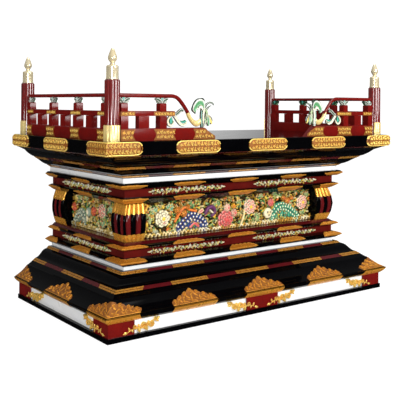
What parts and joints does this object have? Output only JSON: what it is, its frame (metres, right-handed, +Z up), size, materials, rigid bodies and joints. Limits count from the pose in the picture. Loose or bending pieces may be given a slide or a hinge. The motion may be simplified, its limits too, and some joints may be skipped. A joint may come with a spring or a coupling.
{
  "type": "temple altar dais",
  "caption": "Lacquered temple altar dais: stepped mouldings narrow to a carved, reeded drum and spread again to a broad top slab with gilt fittings, corner posts and low railings.",
  "frame": {"origin": "on the floor, under the middle of the top slab", "axes": "+X to the right along the front, +Y from the front to the flat back that stands against a wall, +Z up"},
  "size_m": [1.527, 0.8246, 1.058],
  "materials": {
    "black_lacquer": "polished black lacquer",
    "red_lacquer": "polished red lacquer",
    "white_lacquer": "smooth white lacquer",
    "gilt_fillet": "gilded wood between dark red segments",
    "gold_metal": "chased and gilt sheet metal",
    "painted_carving": "carved wood painted in many colours and gold",
    "green_carving": "carved leaves painted green and white"
  },
  "bodies": {
    "root": {"base_board": "black_lacquer", "dado_panels": "white_lacquer", "dado_post_front_left": "red_lacquer", "dado_post_front_middle": "red_lacquer", "dado_post_front_right": "red_lacquer", "dado_post_back_left": "red_lacquer", "dado_post_back_right": "red_lacquer", "flared_course": "black_lacquer", "lower_fillet": "gilt_fillet", "ogee_course": "black_lacquer", "waist_fillet": "gilt_fillet", "lower_white_band": "white_lacquer", "ledge_1": "black_lacquer", "lower_red_band": "red_lacquer", "ledge_2": "black_lacquer", "drum_seat": "red_lacquer", "drum_core": "black_lacquer", "pillar_front_left": "black_lacquer", "pillar_front_right": "black_lacquer", "pillar_back_left": "black_lacquer", "pillar_back_right": "black_lacquer", "carved_panel_front": "painted_carving", "carved_panel_left": "painted_carving", "carved_panel_right": "painted_carving", "ledge_3": "black_lacquer", "upper_red_band": "red_lacquer", "ledge_4": "black_lacquer", "upper_white_band": "white_lacquer", "cove_fillet_1": "gilt_fillet", "cove_1": "black_lacquer", "cove_fillet_2": "gilt_fillet", "cove_2": "black_lacquer", "slab_fillet": "gilt_fillet", "top_slab": "black_lacquer", "post_front_left": "red_lacquer", "post_front_right": "red_lacquer", "post_back_left": "red_lacquer", "post_back_right": "red_lacquer", "post_foot_front_left": "gold_metal", "post_foot_front_right": "gold_metal", "post_foot_back_left": "gold_metal", "post_foot_back_right": "gold_metal", "finial_front_left": "gold_metal", "finial_front_right": "gold_metal", "finial_back_left": "gold_metal", "finial_back_right": "gold_metal", "rail_left_sill": "red_lacquer", "rail_left_middle": "red_lacquer", "rail_left_handrail": "red_lacquer", "rail_right_sill": "red_lacquer", "rail_right_middle": "red_lacquer", "rail_right_handrail": "red_lacquer", "return_left_sill": "red_lacquer", "return_left_middle": "red_lacquer", "return_left_handrail": "red_lacquer", "return_right_sill": "red_lacquer", "return_right_middle": "red_lacquer", "return_right_handrail": "red_lacquer", "carved_leaf_left": "green_carving", "carved_leaf_right": "green_carving"}
  },
  "joints": []
}
